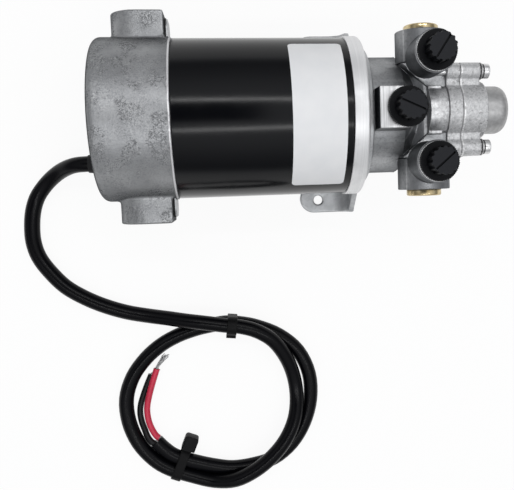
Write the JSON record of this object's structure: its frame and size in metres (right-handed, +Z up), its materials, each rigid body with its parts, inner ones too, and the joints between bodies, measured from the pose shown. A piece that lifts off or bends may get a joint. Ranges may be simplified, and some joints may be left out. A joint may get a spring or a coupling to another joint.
{
  "type": "electric hydraulic pump",
  "caption": "Reversible electric hydraulic pump: brush motor with cast rear housing, valve body with threaded ports, gear pump head, bent foot bracket and coiled power cord.",
  "frame": {"origin": "centre of the bounding box's base, cord left out; Z = 0 is the surface under the feet", "axes": "+X runs along the motor's axis towards the pump head, +Z is up and the ports open upward"},
  "size_m": [0.2411, 0.2492, 0.0929],
  "materials": {
    "cast_grey": "as-cast, mottled grey",
    "head_grey": "as-cast with machined faces",
    "pump_cast": "sand-cast, light grey",
    "machined": "turned, bright",
    "black_gloss": "gloss black paint",
    "label_white": "plain white sticker",
    "zinc": "zinc-plated sheet",
    "steel": "ground steel",
    "bright_steel": "bright plated screws",
    "dark_steel": "dark oiled steel",
    "lamination": "stacked electrical sheet",
    "copper": "enamelled copper wire",
    "bronze": "sintered bronze",
    "brass": "turned brass",
    "ferrite": "sintered ferrite",
    "carbon": "carbon",
    "black_plastic": "moulded black plastic",
    "black_rubber": "black rubber",
    "jacket": "satin black cord jacket",
    "wire_red": "red wire sleeve",
    "wire_black": "black wire sleeve",
    "tinned": "tinned copper strands"
  },
  "bodies": {
    "pump": {"rear_housing": "cast_grey", "motor_can": "black_gloss", "label": "label_white", "front_end_cap": "machined", "mounting_bracket": "zinc", "valve_body": "head_grey", "bearing_plate": "pump_cast", "gear_housing": "pump_cast", "end_dome": "cast_grey", "pump_screws": "bright_steel", "spring_washers": "dark_steel", "lock_plugs": "brass", "lock_plug_seals": "black_rubber", "check_spring_left": "steel", "check_spring_right": "steel", "field_magnets": "ferrite", "rear_bearing": "steel", "front_bearing": "steel", "shaft_seal": "black_rubber", "gear_bushes": "bronze", "gear_seal": "black_rubber", "carbon_brush_left": "carbon", "carbon_brush_right": "carbon", "brush_springs": "steel", "brush_holders": "brass", "pocket_gaskets": "black_rubber", "pocket_covers": "zinc", "through_bolts": "dark_steel", "body_screws": "dark_steel", "cable_grommet": "black_rubber", "power_cord": "jacket", "conductor_red": "wire_red", "conductor_black": "wire_black", "conductor_ends": "tinned", "cable_tie_small": "black_plastic", "cable_tie_large": "black_plastic"},
    "rotor": {"motor_shaft": "steel", "armature_core": "lamination", "armature_windings": "copper", "commutator": "copper", "drive_coupling": "steel", "pump_shaft": "steel", "drive_gear": "steel"},
    "driven": {"driven_shaft": "steel", "driven_gear": "steel"},
    "shuttle": {"shuttle_piston": "steel"},
    "poppet_left": {"check_poppet_left": "steel"},
    "poppet_right": {"check_poppet_right": "steel"},
    "plug_left": {"port_plug_left": "black_plastic"},
    "plug_right": {"port_plug_right": "black_plastic"},
    "plug_middle": {"port_plug_middle": "black_plastic"}
  },
  "joints": [
    {"name": "rotor_spin", "type": "hinge", "parent": "pump", "child": "rotor", "pos_m": [0, 0, 0.0394], "axis": [1, 0, 0], "continuous": true},
    {"name": "driven_gear_spin", "type": "hinge", "parent": "pump", "child": "driven", "pos_m": [0, 0, 0.0574], "axis": [1, 0, 0], "continuous": true},
    {"name": "shuttle_slide", "type": "slide", "parent": "pump", "child": "shuttle", "axis": [0, 1, 0], "range_m": [-0.0015, 0.0015]},
    {"name": "check_left_slide", "type": "slide", "parent": "pump", "child": "poppet_left", "axis": [0, 1, 0], "range_m": [0, 0.002], "stiffness_N_per_m": 600, "springref_m": -0.003, "deforming": ["check_spring_left"]},
    {"name": "check_right_slide", "type": "slide", "parent": "pump", "child": "poppet_right", "axis": [0, -1, 0], "range_m": [0, 0.002], "stiffness_N_per_m": 600, "springref_m": -0.003, "deforming": ["check_spring_right"]},
    {"name": "plug_left_lift", "type": "slide", "parent": "pump", "child": "plug_left", "axis": [0, 0, 1], "range_m": [0, 0.02]},
    {"name": "plug_right_lift", "type": "slide", "parent": "pump", "child": "plug_right", "axis": [0, 0, 1], "range_m": [0, 0.02]},
    {"name": "plug_middle_lift", "type": "slide", "parent": "pump", "child": "plug_middle", "axis": [0, 0, 1], "range_m": [0, 0.02]}
  ],
  "couplings": [
    {"joint": "driven_gear_spin", "follows": "rotor_spin", "ratio": -1}
  ]
}
